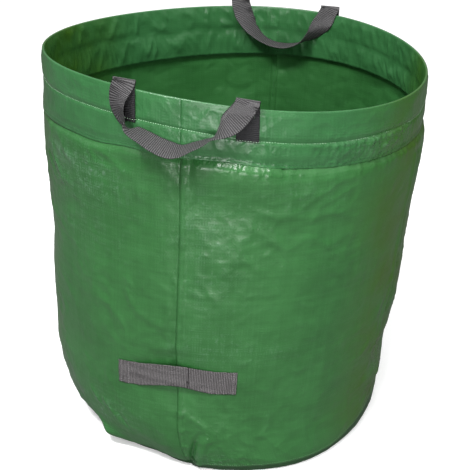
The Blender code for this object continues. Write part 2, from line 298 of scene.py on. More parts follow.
HEM_STEP, GLOSS_STEP = 0.0056, 0.0105
BROAD_WAVES, SMALL_WAVES = 0.0042, 0.0024
LONG_FOLDS, SHORT_FOLDS, FINE_FOLDS = 0.0024, 0.0014, 0.0009
PUCKERS = 0.0016


def relief(turn, height):
    """How far the cloth of the wall stands out of its smooth round, in metres."""
    drop = rim_height(turn) - height
    under = drop - hem_edge(turn)
    if under < -0.004:
        return 0.0
    free = ease(under, 0.0, 0.03)
    out = HEM_STEP * between(under, -0.002, 0.011, 0.03, 0.16)
    slope = GLOSS_STEP * clamped((under + 0.003) / 0.0125) * (1 - ease(under, 0.0095, 0.085))
    out = mix(out, slope, gloss_band(turn))
    out += free * BROAD_WAVES * cloth_noise(turn, height, 0.21, 0.8, 1.7)
    out += free * SMALL_WAVES * cloth_noise(turn, height, 0.085, 0.9, 5.3)
    patch = 0.3 + 0.7 * ease(cloth_noise(turn, height, 0.15, 1.0, 9.1), -0.15, 0.35)
    out += free * LONG_FOLDS * patch * ridges(turn + 70 * height, height, 0.066, 1.0, 2.9)
    out += free * SHORT_FOLDS * patch * ridges(turn - 40 * height, height, 0.036, 1.4, 7.7)
    fine = ridges(turn, height, 0.04, 2.6, 4.4)
    out += free * FINE_FOLDS * fine * hill(turn, 14, 15) * hill(height, 0.47, 0.14)
    pucker = ridges(turn, 0.4 * drop, 0.016, 0.5, 3.3)
    at_right = between(turn, 0, 30, 80, 100)
    out += PUCKERS * pucker * hill(under, 0.008, 0.012) * (0.35 + at_right)
    for seam_turn in SEAM_TURNS:
        beside = arc(turn - seam_turn)
        if abs(beside) < 0.05:
            lift = between(beside, 0.0005, 0.003, SEAM_BAND - 0.003, SEAM_BAND + 0.002)
            out += 0.0009 * lift + 0.0012 * lift * ridges(0.0, height, 0.03, 1.0, 8.8)
            out += 0.001 * lift * ridges(0.0, height, 0.011, 1.0, 2.8)
            out -= 0.0008 * hill(beside, 0.0, 0.0015)
            out -= 0.0014 * hill(beside, -0.004, 0.012)
    return out + creases_and_dents(turn, height)


def slide(turn, height):
    """How far the sagging has drawn the cloth round to the right near the front seam, in degrees."""
    return 1.5 * hill(turn, 0.0, 22.0) * hill(height, 0.115, 0.085)


def add_object(name, data):
    made = bpy.data.objects.new(name, data)
    bpy.context.collection.objects.link(made)
    return made


def mesh_object(name, work):
    """Object whose mesh is a finished bmesh."""
    mesh = bpy.data.meshes.new(name)
    work.to_mesh(mesh)
    work.free()
    return add_object(name, mesh)


def sheet_mesh(name, across, along, spot, thickness, material, closed=False):
    """Mesh of one sheet. spot(u, v) gives a place on its middle, where that lies in the cloth, and how crushed
    it is and how much pale painted sheen it has.
    """
    work = bmesh.new()
    bmesh.ops.create_grid(work, x_segments=across, y_segments=along, size=0.5)
    cloth = work.loops.layers.uv.new("cloth")
    # These attributes give how crushed the coating is, and how much pale painted sheen lies on it.
    crumple, pale = work.verts.layers.float.new("crumple"), work.verts.layers.float.new("painted_sheen")
    lies = {}
    for vert in work.verts:
        vert.co, lies[vert], (vert[crumple], vert[pale]) = spot(vert.co.x + 0.5, vert.co.y + 0.5)
    for face in work.faces:
        face.smooth = True
        for loop in face.loops:
            loop[cloth].uv = lies[loop.vert]
    if closed:
        bmesh.ops.remove_doubles(work, verts=work.verts, dist=0.00001)
    if thickness < 0:
        bmesh.ops.solidify(work, geom=work.faces, thickness=thickness)
    piece = mesh_object(name, work)
    piece.data.materials.append(material)
    if thickness > 0:
        layer = piece.modifiers.new("Cloth", "SOLIDIFY")
        layer.thickness = thickness
        layer.offset = 0.0
    return piece


def connect(tree, made, inputs):
    """Sets a node's inputs, each to a value or to another node's output."""
    for key, value in inputs.items():
        if isinstance(value, bpy.types.NodeSocket):
            tree.links.new(value, made.inputs[key])
        else:
            made.inputs[key].default_value = value


def node(tree, kind, inputs=(), **settings):
    """Outputs of a new shader node with these settings and inputs."""
    made = tree.nodes.new("ShaderNode" + kind)
    for key, value in settings.items():
        setattr(made, key, value)
    connect(tree, made, dict(inputs))
    return made.outputs


def calc(operation, *values, clamp=False):
    """Math node on numbers and other nodes' outputs."""
    tree = next(value.id_data for value in values if isinstance(value, bpy.types.NodeSocket))
    return node(tree, "Math", enumerate(values), operation=operation, use_clamp=clamp)[0]


def multiply(first, second, clamp=False):
    return calc("MULTIPLY", first, second, clamp=clamp)


def multiply_add(first, second, third, clamp=False):
    return calc("MULTIPLY_ADD", first, second, third, clamp=clamp)


def eased(value, start, end, low, high):
    """The same soft step as ease(), as a node."""
    steps = {0: value, 1: start, 2: end, 3: low, 4: high}
    return node(value.id_data, "MapRange", steps, interpolation_type="SMOOTHSTEP")[0]


def two_tones(share, first, second):
    """Mix of two colours; the first may be another node's output."""
    first = first if isinstance(first, bpy.types.NodeSocket) else (*first, 1.0)
    return node(share.id_data, "Mix", {0: share, 6: first, 7: (*second, 1.0)}, data_type="RGBA")[2]


def bumped(height, distance):
    return node(height.id_data, "Bump", {"Strength": 1.0, "Distance": distance, "Height": height})[0]


def group(name, inputs, outputs):
    """Empty shader node group with named sockets, what its input node gives, and its output node."""
    made = bpy.data.node_groups.new(name, "ShaderNodeTree")
    for label, value in inputs.items():
        kind = "NodeSocketVector" if value is None else "NodeSocketFloat"
        socket = made.interface.new_socket(name=label, in_out="INPUT", socket_type=kind)
        if value is not None:
            socket.default_value = value
    for label in outputs:
        made.interface.new_socket(name=label, in_out="OUTPUT", socket_type="NodeSocketFloat")
    return made, made.nodes.new("NodeGroupInput").outputs, made.nodes.new("NodeGroupOutput")


def woven_tapes():
    """Flat tapes crossing over and under each other, with each tape a little lighter or darker."""
    tree, given, result = group("Woven tapes", {"Cloth": None, "Tape": 0.0025}, ("Height", "Shade"))
    scale = calc("DIVIDE", 1.0, given["Tape"])
    scaled = node(tree, "VectorMath", {0: given["Cloth"], "Scale": scale}, operation="SCALE")[0]
    parts = node(tree, "SeparateXYZ", {0: scaled})
    profiles, tapes, shades = [], [], []
    for axis in (0, 1):
        tapes.append(calc("FLOOR", parts[axis]))
        aside = calc("SUBTRACT", calc("FRACT", parts[axis]), 0.5)
        profiles.append(calc("SUBTRACT", 1.0, calc("POWER", calc("ABSOLUTE", aside), 2.0)))
        shades.append(node(tree, "TexWhiteNoise", {"W": tapes[axis]}, noise_dimensions="1D")["Value"])
    over = calc("FLOORED_MODULO", calc("ADD", *tapes), 2.0)
    for label, (under, above) in (("Height", profiles), ("Shade", shades)):
        chosen = node(tree, "Mix", {0: over, 2: under, 3: above}, data_type="FLOAT")
        connect(tree, result, {label: chosen[0]})
    return tree


def crumpled_film():
    """Sharp little creases of a coating that has been folded, and the broad clouding between them."""
    tree, given, result = group("Crumpled film", {"Cloth": None, "Size": 0.03}, ("Height", "Cloud"))
    scale = calc("DIVIDE", 1.0, given["Size"])
    lines = {"Vector": given["Cloth"], "Scale": scale, "Detail": 3.0, "Roughness": 0.55, "Distortion": 0.4}
    clouds = {"Vector": given["Cloth"], "Scale": multiply(scale, 0.3), "Detail": 4.0}
    connect(tree, result, {
        "Height": node(tree, "TexNoise", lines, noise_type="RIDGED_MULTIFRACTAL")[0],
        "Cloud": node(tree, "TexNoise", clouds)[0],
    })
    return tree


WOVEN_TAPES = woven_tapes()
CRUMPLED_FILM = crumpled_film()
TAPE_WIDTH = 0.0024
LARGE_CREASES, SMALL_CREASES = 0.034, 0.009
# lengths round the bag from the front seam, between which the olive tint at the sides comes and goes: stains,
# and a painted reflection of warm surroundings
OLIVE_COMES, OLIVE_GOES = (0.26, 0.46), (0.58, 0.74)
OLIVE = (0.027, 0.08, 0.002)
PALE_GREEN = (0.098, 0.2, 0.118)


def plain_material(name):
    made = bpy.data.materials.new(name)
    made.use_nodes = True
    return made, made.node_tree, made.node_tree.nodes["Principled BSDF"]


def green_cloth(name, green, deep_green, roughness, sides=0.0):
    """Coated tape cloth: woven ground, folding creases in the coating, a soft gloss, and pale painted sheen."""
    made, tree, shader = plain_material(name)
    cloth = node(tree, "UVMap", uv_map="cloth")[0]
    weave = node(tree, "Group", {"Cloth": cloth, "Tape": TAPE_WIDTH}, node_tree=WOVEN_TAPES)
    film = node(tree, "Group", {"Cloth": cloth, "Size": LARGE_CREASES}, node_tree=CRUMPLED_FILM)
    fine = node(tree, "Group", {"Cloth": cloth, "Size": SMALL_CREASES}, node_tree=CRUMPLED_FILM)
    crumple = node(tree, "Attribute", attribute_name="crumple")["Fac"]
    pale = node(tree, "Attribute", attribute_name="painted_sheen")["Fac"]

    tone = multiply_add(film["Cloud"], 1.5, -0.4)
    tone = multiply_add(fine["Cloud"], 1.1, tone)
    tone = multiply_add(weave["Shade"], 0.4, tone)
    colour = two_tones(calc("SUBTRACT", tone, 0.4, clamp=True), deep_green, green)

    across = calc("ABSOLUTE", node(tree, "SeparateXYZ", {0: cloth})[0])
    # Olive tint at the sides of the bag: stains, and a painted reflection of warm surroundings.
    stain_and_reflection = multiply(eased(across, *OLIVE_COMES, 0.0, sides), eased(across, *OLIVE_GOES, 1.0, 0.0))
    stain_and_reflection = multiply(stain_and_reflection, multiply_add(film["Cloud"], 2.4, -0.45), clamp=True)
    colour = two_tones(stain_and_reflection, colour, OLIVE)

    # Pale painted sheen, streaked along the creases, where the sheen attribute asks for it.
    streaks = multiply_add(fine["Height"], 0.75, -0.2)
    streaks = multiply_add(film["Height"], 0.45, streaks)
    streaks = multiply_add(weave["Shade"], 0.35, streaks, clamp=True)
    colour = two_tones(multiply(pale, streaks, clamp=True), colour, PALE_GREEN)

    rough = multiply_add(film["Cloud"], 0.16, roughness - 0.08)
    height = multiply(film["Height"], 0.0017)
    height = multiply_add(fine["Height"], multiply_add(crumple, 0.0018, 0.00035), height)
    height = multiply_add(weave["Height"], 0.00009, height)
    connect(tree, shader, {
        "Base Color": colour,
        "Roughness": multiply_add(crumple, -0.16, rough),
        "Normal": bumped(height, 1.0),
        "Specular IOR Level": 0.48,
    })
    return made


WALL_CLOTH = green_cloth("wall_cloth", (0.0272, 0.124, 0.031), (0.0166, 0.083, 0.019), 0.34, sides=1.0)
CLOTH = 0.0007
LAYER = 0.001
WALL_TOP_DROP = 0.0515
SEAM_ALLOWANCE = 0.012
ALLOWANCE_STEPS = (0.0008, 0.004, 0.008, SEAM_ALLOWANCE)
ALLOWANCE_COLUMNS = len(ALLOWANCE_STEPS) + 1
WALL_COLUMNS, WALL_ROWS = 300, 148
COLUMN_CROWDING, ROW_CROWDING = 0.45, 0.35
SEAM_MARGIN = 0.0004
WALL_GLOSS, HEM_GLOSS = 1.0, 0.9
FOOT_FRONT, FOOT_RIGHT = 0.016, 0.04


def wall_foot(turn):
    """Height of the seam between wall and base, which rides up at the right."""
    return FOOT_FRONT + FOOT_RIGHT * between(turn, 52, 84, 110, 150)


def gloss_crumple(turn, drop):
    """Where the cloth is crushed sharply under the hem, right of the front seam."""
    under = drop - hem_edge(turn)
    return between(turn, 3, 5, 15, 28) * hill(under, 0.004, 0.0075)


def crush_and_sheen_at(turn, height, glossy):
    """How sharply the coating is crushed, from 0 to 1, and how much pale painted sheen lies on it, from 0 up.
    """
    crushed = min(patches(CRUSHED, turn, height), 1.0)
    painted_sheen = min(PALE_ALL_OVER + patches(SHEEN_PATCHES, turn, height), PALEST)
    return max(glossy * gloss_crumple(turn, rim_height(turn) - height), crushed), painted_sheen


def allowance(beside, own):
    """Where a turned-in edge lies beside the seam and behind the face, as lengths from the seam line."""
    if beside == 0:
        return (0.0002, -0.0006) if own else (0.0001, -0.0008)
    return ALLOWANCE_STEPS[beside - 1], -LAYER if own else -2 * LAYER


def wall_panel(name, node_name, side):
    """Half of the wall; side is -1 on the left and 1 on the right."""
    own_front = side > 0
    total = WALL_COLUMNS + 2 * ALLOWANCE_COLUMNS

    def spot(u, v):
        column = round(u * total) if side > 0 else total - round(u * total)
        step = column - ALLOWANCE_COLUMNS
        if step < 0:
            along, out = allowance(-step - 1, own_front)
            turn = turn_of(along)
        elif step > WALL_COLUMNS:
            along, out = allowance(step - WALL_COLUMNS - 1, not own_front)
            turn = side * 180.0 + turn_of(along)
        else:
            share = step / WALL_COLUMNS
            share = mix(share, share ** 1.6, COLUMN_CROWDING)
            margin = turn_of(SEAM_MARGIN)
            turn, out = side * min(max(180.0 * share, margin), 180.0 - margin), 0.0
        top = rim_height(turn) - WALL_TOP_DROP
        height = mix(wall_foot(turn), top, v - ROW_CROWDING * sin(2 * pi * v) / (2 * pi))
        point = place(turn + slide(turn, height), height, out + relief(turn, height))
        return point, (arc(turn), height), crush_and_sheen_at(turn, height, WALL_GLOSS)

    piece = sheet_mesh(name, total, WALL_ROWS, spot, CLOTH, WALL_CLOTH)
    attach(piece, "bag")
    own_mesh(piece)
    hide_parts(node_name)


wall_panel("wall_left", "left_wall_panel", -1)
wall_panel("wall_right", "right_wall_panel", 1)

# Base. One disc of the same cloth, lying flat inside the foot of the wall. Its edge is turned up
# against the wall and sewn to it all round.

# The base's cloth is painted much darker than the wall's, as painted shade for its underside and turned-up edge
# at the foot.
BASE_CLOTH = green_cloth("base_cloth", (0.011, 0.056, 0.013), (0.006, 0.036, 0.008), 0.42)
BASE_RINGS, BASE_FLAT_RINGS, BASE_FLAT_SHARE = 40, 26, 0.985
BASE_FLANGE = 0.012
BASE_COLUMNS = 360
# Neither crushed nor painted with sheen.
UNCRUSHED_NO_SHEEN = (0.0, 0.0)


def base_spot(u, v):
    turn = 360.0 * u - 180.0
    flat_radius = RIM_RADIUS - BOTTOM_TAPER - CORNER_INSET - LAYER + foot_wave(turn, 0.0)
    flat_radius += relief(turn, 0.0)
    ring = round(v * BASE_RINGS)
    if ring <= BASE_FLAT_RINGS:
        share = BASE_FLAT_SHARE * ring / BASE_FLAT_RINGS
        radius = flat_radius * share
        lift = 0.0006 + 0.0015 * share * (0.5 + cloth_noise(turn, 0.3 * share, 0.1, 1.0, 2.2)) * (1 - share) * 4
        point = Vector((radius * sin_turn(turn), -radius * cos_turn(turn), lift))
        return point, (radius * sin_turn(turn), radius * cos_turn(turn)), UNCRUSHED_NO_SHEEN
    rise = (ring - BASE_FLAT_RINGS) / (BASE_RINGS - BASE_FLAT_RINGS)
    height = mix(0.0012, wall_foot(turn) + BASE_FLANGE, rise ** 1.4)
    point = place(turn, height, relief(turn, height) - LAYER)
    reach = flat_radius + height
    return point, (reach * sin_turn(turn), reach * cos_turn(turn)), UNCRUSHED_NO_SHEEN


base = sheet_mesh("base", BASE_COLUMNS, BASE_RINGS, base_spot, CLOTH, BASE_CLOTH, closed=True)
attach(base, "bag")
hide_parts("base_panel")

# Sewing of the wall and base. Lock stitches of thick thread, painted pale green as a painted highlight where it
# catches the light:
# one row round the foot of the wall, and one down each pair of turned-in edges.

STITCH_BATCH = 24
STITCH, STITCH_SHARE = 0.0045, 0.74
THREAD = 0.0009
STITCH_GAP = 0.0002
STITCHES_ROUND = 468
BASE_ROW_RISE = 0.005
SEAM_ROW_FOOT, SEAM_ROW_TOP = 0.02, 0.108


def stitch_row(name, places, thread):
    """Row of stitches; places gives each stitch's middle, its direction with its length, and outward."""
    row = bmesh.new()
    for first in range(0, len(places), STITCH_BATCH):
        work = bmesh.new()
        for middle, run, outward in places[first:first + STITCH_BATCH]:
            length = run.length
            ahead = run / length
            upward = (outward - ahead * outward.dot(ahead)).normalized()
            turned = Matrix((ahead, upward.cross(ahead), upward)).transposed().to_4x4()
            shape = Matrix.Diagonal((length * STITCH_SHARE / 2, THREAD / 2, THREAD / 2 * 0.8, 1.0))
            spot = Matrix.Translation(middle) @ turned @ shape
            bmesh.ops.create_uvsphere(work, u_segments=6, v_segments=4, radius=1.0, matrix=spot)
        batch = bpy.data.meshes.new("batch")
        work.to_mesh(batch)
        work.free()
        row.from_mesh(batch)
        bpy.data.meshes.remove(batch)
    for face in row.faces:
        face.smooth = True
    piece = mesh_object(name, row)
    piece.data.materials.append(thread)
    return piece


def sewing_thread(name, colour, shadow):
    """Twisted thread, with light and dark plies."""
    made, tree, shader = plain_material(name)
    coords = node(tree, "TexCoord")["Object"]
    plies = node(tree, "TexNoise", {"Vector": coords, "Scale": 900.0, "Detail": 2.0})[0]
    tone = two_tones(plies, shadow, colour)
    connect(tree, shader, {"Base Color": tone, "Normal": bumped(plies, 0.0001), "Roughness": 0.6})
    return made


# The pale green thread is a painted highlight: the same thread painted pale where it catches the light.
PALE_GREEN_THREAD = sewing_thread("pale_green_thread", (0.42, 0.58, 0.42), (0.2, 0.36, 0.21))
MID_GREEN_THREAD = sewing_thread("mid_green_thread", (0.1, 0.23, 0.105), (0.04, 0.13, 0.045))
DARK_GREEN_THREAD = sewing_thread("dark_green_thread", (0.03, 0.12, 0.045), (0.012, 0.055, 0.02))


def outward_at(turn, rise=0.0):
    """Direction away from the bag's middle, at a turn from the front towards the right."""
    return Vector((sin_turn(turn), -cos_turn(turn), rise))


def ring_places(point_at):
    """Stitches right round the bag along point_at(turn)."""
    found = []
    half = 180.0 / STITCHES_ROUND
    for number in range(STITCHES_ROUND):
        turn = 360.0 * number / STITCHES_ROUND - 180.0
        run = point_at(turn + half) - point_at(turn - half)
        found.append((point_at(turn), run, outward_at(turn, 0.15)))
    return found


def base_row_at(turn):
    height = wall_foot(turn) + BASE_ROW_RISE
    return place(turn, height, relief(turn, height) + CLOTH / 2 + STITCH_GAP)


base_stitches = stitch_row("base_stitches", ring_places(base_row_at), MID_GREEN_THREAD)
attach(base_stitches, "bag")
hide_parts("base_row")


def seam_places(seam_turn):
    """Stitches down the middle of the turned-in edges, seen on their inner side."""
    found = []
    low, high = wall_foot(seam_turn) + SEAM_ROW_FOOT, rim_height(seam_turn) - SEAM_ROW_TOP
    turn = seam_turn + turn_of(SEAM_ALLOWANCE / 2)

    def at(height):
        out = relief(turn, height) - 2 * LAYER - CLOTH / 2 - STITCH_GAP
        return place(turn + slide(turn, height), height, out)

    for number in range(int((high - low) / STITCH)):
        height = low + STITCH * (number + 0.5)
        run = at(height + STITCH / 2) - at(height - STITCH / 2)
        found.append((at(height), run, -outward_at(turn)))
    return found


for seam_name, seam_turn in (("front_seam_row", 0.0), ("back_seam_row", 180.0)):
    row = stitch_row(seam_name.replace("row", "stitches"), seam_places(seam_turn), DARK_GREEN_THREAD)
    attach(row, "bag")
    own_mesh(row)
    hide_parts(seam_name)

# Hoop. A sprung strip of pale plastic with lapped ends, pushed into the hem's channel, where it
# keeps the rim open. Its solid is kept, with the waxy look of rolled plastic strip.

hoop_plastic, tree, shader = plain_material("hoop_plastic")
coords = node(tree, "TexCoord")["Object"]
stretched = node(tree, "Mapping", {"Vector": coords, "Scale": (1.0, 1.0, 60.0)})[0]
scuffs = node(tree, "TexNoise", {"Vector": stretched, "Scale": 12.0, "Detail": 4.0})[0]
connect(tree, shader, {
    "Base Color": two_tones(scuffs, (0.62, 0.62, 0.58), (0.78, 0.78, 0.74)),
    "Roughness": multiply_add(scuffs, 0.25, 0.28),
    "Normal": bumped(scuffs, 0.0001),
})
for material_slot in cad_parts["rim_hoop"].material_slots:
    material_slot.material = hoop_plastic

# Hem. Each panel's doubled cloth goes down inside the wall, and over the hoop, and down outside.
# A row of stitches closes the hoop's channel, and another holds the lower edge. Between them the
# outer layer is too long for the wall, so it puckers, most of all at the right.

HEM_INNER, HEM_OUTER = -0.0013, 0.0028428
HEM_ROW_DROP = 0.05
HEM_ROW_DIP = 0.0045
WEBBING, WEBBING_WIDTH = 0.0016, 0.038
TAB_OUT = 0.0058
FRONT_HANDLE = dict(middle=1.0, spread=18.1, way=1)
BACK_HANDLE = dict(middle=177.6, spread=17.0, way=-1)
EDGE_ROW_RISE = 0.006
HEM_COLUMNS = 430
INNER_SEAM_ASIDE = 0.0015
SEAM_COLUMNS = (0.00004, 0.00055, 0.0012, 0.0024, 0.0043, 0.0066)
INNER_ROWS, FOLD_ROWS, OUTER_ROWS = 20, 8, 60
# The hem's cloth is painted paler and bluer than the wall's: a painted reflection of the sky.
HEM_CLOTH = green_cloth("hem_cloth", (0.03, 0.129, 0.04), (0.018, 0.086, 0.0245), 0.32, sides=0.9)


def hem_row(turn):
    """Drop of the hoop channel's stitches; the puckers pull them down at the right."""
    return HEM_ROW_DROP + 0.0012 * cloth_noise(turn, 0.0, 0.12, 1.0, 4.9) + HEM_ROW_DIP * hill(turn, 34, 20)


def in_channel(drop, row):
    """1 where the hoop fills the hem, and 0 at the rim and at the stitches."""
    return between(drop, 0.002, 0.012, row - 0.01, row - 0.001)


def pucker_strength(turn):
    near = 1.55 * hill(turn, 58, 20) + 0.45 * hill(turn, 12, 12) + 0.12 * hill(turn, -30, 25)
    return 0.16 + near + 0.5 * ease(abs(turn), 90, 130)


def puckers(turn, drop, seed=0.0):
    """Upright and slanting gathers, 0 to 1, between the hem's two rows."""
    lean = turn_of(1.1 * cloth_noise(turn, 0.0, 0.1, 1.0, 12.3 + seed) * (drop - 0.075))
    fine = ridges(turn + lean, drop, 0.014, 0.3, 6.6 + seed)
    coarse = ridges(turn - lean, drop, 0.04, 0.45, 1.9 + seed)
    return 0.5 * fine + 0.6 * coarse


def outer_hem(turn, drop):
    """How far out the hem's outer layer stands at a drop below the rim."""
    row, edge = hem_row(turn), hem_edge(turn)
    held = edge - EDGE_ROW_RISE
    channel = in_channel(drop, row)
    out = HEM_OUTER + channel * (0.0006 + 0.0016 * cloth_noise(turn, drop, 0.055, 0.8, 3.8))
    out += channel * 0.0007 * ridges(turn + 60 * drop, drop, 0.04, 1.0, 1.2)
    out += channel * 0.0006 * ridges(turn - 50 * drop, drop, 0.018, 0.7, 7.2)
    share = clamped((drop - row) / (held - row))
    puff = 1.9 * share ** 0.7 * (1 - share) ** 1.1
    strength = pucker_strength(turn)
    out += puff * (0.0012 + 0.0056 * strength * puckers(turn, drop))
    near_rows = hill(drop, row + 0.004, 0.005) + hill(drop, held, 0.007)
    out += 0.002 * strength * near_rows * ridges(turn, drop, 0.01, 0.5, 3.1) * (1 if drop > row else 0.4)
    out -= 0.001 * hill(drop, row, 0.0022) + 0.0014 * ease(drop, held - 0.014, held - 0.001)
    out += creases_and_dents(turn, rim_height(turn) - drop) * ease(drop, row, held)
    out += 0.005 * hill(turn, -66, 20) * hill(drop, edge, 0.022)
    for seam_turn in SEAM_TURNS:
        out -= 0.0013 * hill(arc(turn - seam_turn), 0.0, 0.0007)
    stands = 0.0017 * gloss_band(turn) * ease(drop, edge - 0.006, edge)
    return max(out, 0.0013 + 0.0006 * ease(drop, held, edge)) + stands


def inner_hem(turn, drop):
    """How far in the hem's inner layer lies; it stands clear of the seams' turned-in edges."""
    row, edge = hem_row(turn), hem_edge(turn)
    channel = in_channel(drop, row)
    deep = channel * (0.0004 + 0.0026 * ridges(turn, drop, 0.03, 0.5, 8.1))
    deep += channel * 0.0016 * ridges(turn + 80 * drop, drop, 0.017, 0.6, 5.8)
    share = clamped((drop - row) / (edge - row))
    deep += 0.006 * sin(pi * min(share, 0.92)) * puckers(turn, drop, 4.0)
    for seam_turn in SEAM_TURNS:
        beside = arc(turn - seam_turn)
        lump = between(beside, -0.008, 0.0, 0.013, 0.022)
        deep += 0.0018 * lump * ease(drop, row - 0.004, row + 0.006)
    return HEM_INNER - deep


def hem_half(name, node_name, side):
    rows = INNER_ROWS + FOLD_ROWS + OUTER_ROWS
    radius, middle = (HEM_OUTER - HEM_INNER) / 2, (HEM_OUTER + HEM_INNER) / 2
    fold_drop = radius + CLOTH / 2

    def spot(u, v):
        step = round(v * rows)
        column = round((u if side > 0 else 1 - u) * HEM_COLUMNS)
        from_seam = min(column, HEM_COLUMNS - column)
        turn = 180.0 * column / HEM_COLUMNS
        if from_seam < len(SEAM_COLUMNS):
            beside = turn_of(SEAM_COLUMNS[from_seam])
            turn = beside if column == from_seam else 180.0 - beside
        turn *= side
        if step <= INNER_ROWS + FOLD_ROWS / 2:
            turn += turn_of(INNER_SEAM_ASIDE)
        edge = hem_edge(turn)
        if step <= INNER_ROWS:
            drop = mix(edge, fold_drop, step / INNER_ROWS)
            out, cloth_run = inner_hem(turn, drop), -drop
        elif step < INNER_ROWS + FOLD_ROWS:
            angle = pi * (step - INNER_ROWS) / FOLD_ROWS
            out = middle - radius * cos(angle)
            drop = fold_drop - radius * sin(angle)
            cloth_run = -fold_drop + radius * angle
        else:
            down = (step - INNER_ROWS - FOLD_ROWS) / OUTER_ROWS
            drop = mix(fold_drop, edge, down)
            out, cloth_run = outer_hem(turn, drop), drop + 0.004
        crush_and_painted_sheen = crush_and_sheen_at(turn, rim_height(turn) - drop, HEM_GLOSS)
        return place_drop(turn, drop, out), (arc(turn), cloth_run), crush_and_painted_sheen

    piece = sheet_mesh(name, HEM_COLUMNS, rows, spot, CLOTH, HEM_CLOTH)
    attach(piece, "rim")
    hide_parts(node_name)


hem_half("hem_left", "left_hem", -1)
hem_half("hem_right", "right_hem", 1)


def hem_row_at(turn):
    """On the hem, and over the sewn ends of the handles, which the row goes through."""
    drop = hem_row(turn)
    out = outer_hem(turn, drop) + CLOTH / 2 + STITCH_GAP
    for handle in (FRONT_HANDLE, BACK_HANDLE):
        for side in (-1, 1):
            beside = (turn - handle["middle"] - side * handle["spread"] + 180) % 360 - 180
            on_webbing = 1 - ease(abs(arc(beside)), WEBBING_WIDTH / 2 - 0.001, WEBBING_WIDTH / 2 + 0.001)
            out = mix(out, TAB_OUT + WEBBING + STITCH_GAP, on_webbing)
    return place_drop(turn, drop, out)


def edge_row_at(turn):
    drop = hem_edge(turn) - EDGE_ROW_RISE
    return place_drop(turn, drop, outer_hem(turn, drop) + CLOTH / 2 + STITCH_GAP)


for row_name, node_name, row_at, thread in (
    ("hem_stitches", "hem_row", hem_row_at, PALE_GREEN_THREAD),
    ("hem_edge_stitches", "hem_edge_row", edge_row_at, DARK_GREEN_THREAD),
):
    row = stitch_row(row_name, ring_places(row_at), thread)
    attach(row, "rim")
    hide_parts(node_name)

# Sewn ends of the carrying handles. Dark grey ribbed webbing, 38 mm wide, painted darker as painted shade,
# stitched flat to the outside of the hem. Above the rim each end stands free and turns a little, up to its
# crease.

RIB, RIB_LIFT = 0.0032, 0.00024
TAB_DROP = 0.055
TAB_COLUMNS, TAB_ROWS = 20, 84
CREASE_RISE = 0.012
CREASE_RADIUS = 0.0024
OUTSIDE_CREASE, INSIDE_CREASE = 0.0060428, 0.0018214


def webbing_weave():
    """Ribs across the webbing, dark between them, made of yarns that go along it in light and dark flecks."""
    tree, given, result = group("Webbing weave", {"Cloth": None, "Rib": RIB}, ("Height", "Shade"))
    parts = node(tree, "SeparateXYZ", {0: given["Cloth"]})
    ribs = calc("SINE", multiply(calc("DIVIDE", parts[0], given["Rib"]), 2 * pi))
    yarns = calc("ABSOLUTE", calc("SINE", multiply(parts[1], 2600.0)))
    stretched = node(tree, "VectorMath", {0: given["Cloth"], 1: (420.0, 1100.0, 1.0)}, operation="MULTIPLY")
    flecks = node(tree, "TexNoise", {"Vector": stretched[0], "Scale": 1.0, "Detail": 2.0})[0]
    flecks = multiply(multiply_add(flecks, 1.5, -0.55), 0.8)
    height = multiply(multiply_add(ribs, 0.5, 0.5), multiply_add(yarns, 0.4, 0.6))
    connect(tree, result, {"Height": height, "Shade": multiply_add(height, 0.75, flecks, clamp=True)})
    return tree


WEBBING_WEAVE = webbing_weave()


def webbing_material(name, light, dark, rib, depth, shine):
    """Ribbed webbing, darker where its attribute says that it was pressed or marked."""
    made, tree, shader = plain_material(name)
    cloth = node(tree, "UVMap", uv_map="cloth")[0]
    weave = node(tree, "Group", {"Cloth": cloth, "Rib": rib}, node_tree=WEBBING_WEAVE)
    marked = node(tree, "Attribute", attribute_name="crumple")["Fac"]
    shade = calc("SUBTRACT", weave["Shade"], marked, clamp=True)
    connect(tree, shader, {
        "Base Color": two_tones(shade, dark, light),
        "Roughness": multiply_add(weave["Shade"], -0.2, 0.72),
        "Normal": bumped(weave["Height"], depth),
        "Specular IOR Level": shine,
    })
    return made


GREY_WEBBING = webbing_material("grey_webbing", (0.126, 0.122, 0.125), (0.004, 0.004, 0.005), RIB, 0.0007, 0.22)
# The same webbing painted much darker, as painted shade, for the sewn ends that lie in the loops' shadow.
PAINTED_SHADE_DARK = (0.0025, 0.0025, 0.003)
WEBBING_IN_PAINTED_SHADE = webbing_material("webbing_in_painted_shade", (0.034, 0.034, 0.036), PAINTED_SHADE_DARK, RIB, 0.0006, 0.12)


def rib_lift(length, across):
    """Height of the ribs, which fade at the two selvedges."""
    edge = 1 - ease(abs(across), WEBBING_WIDTH / 2 - 0.002, WEBBING_WIDTH / 2)
    return RIB_LIFT * sin(2 * pi * length / RIB) * edge


def crease_frame(handle):
    """The crease's left and right end, the line that it lies along, and the way that the loop hangs."""
    crease_out = OUTSIDE_CREASE if handle["way"] > 0 else INSIDE_CREASE
    left, middle, right = (place_drop(handle["middle"] + aside * handle["spread"], -CREASE_RISE, crease_out)
                           for aside in (-1, 0, 1))
    along = (right - left).normalized()
    outward = middle - left
    outward -= along * outward.dot(along)
    outward.z = 0
    return left, right, along, outward.normalized() * handle["way"]


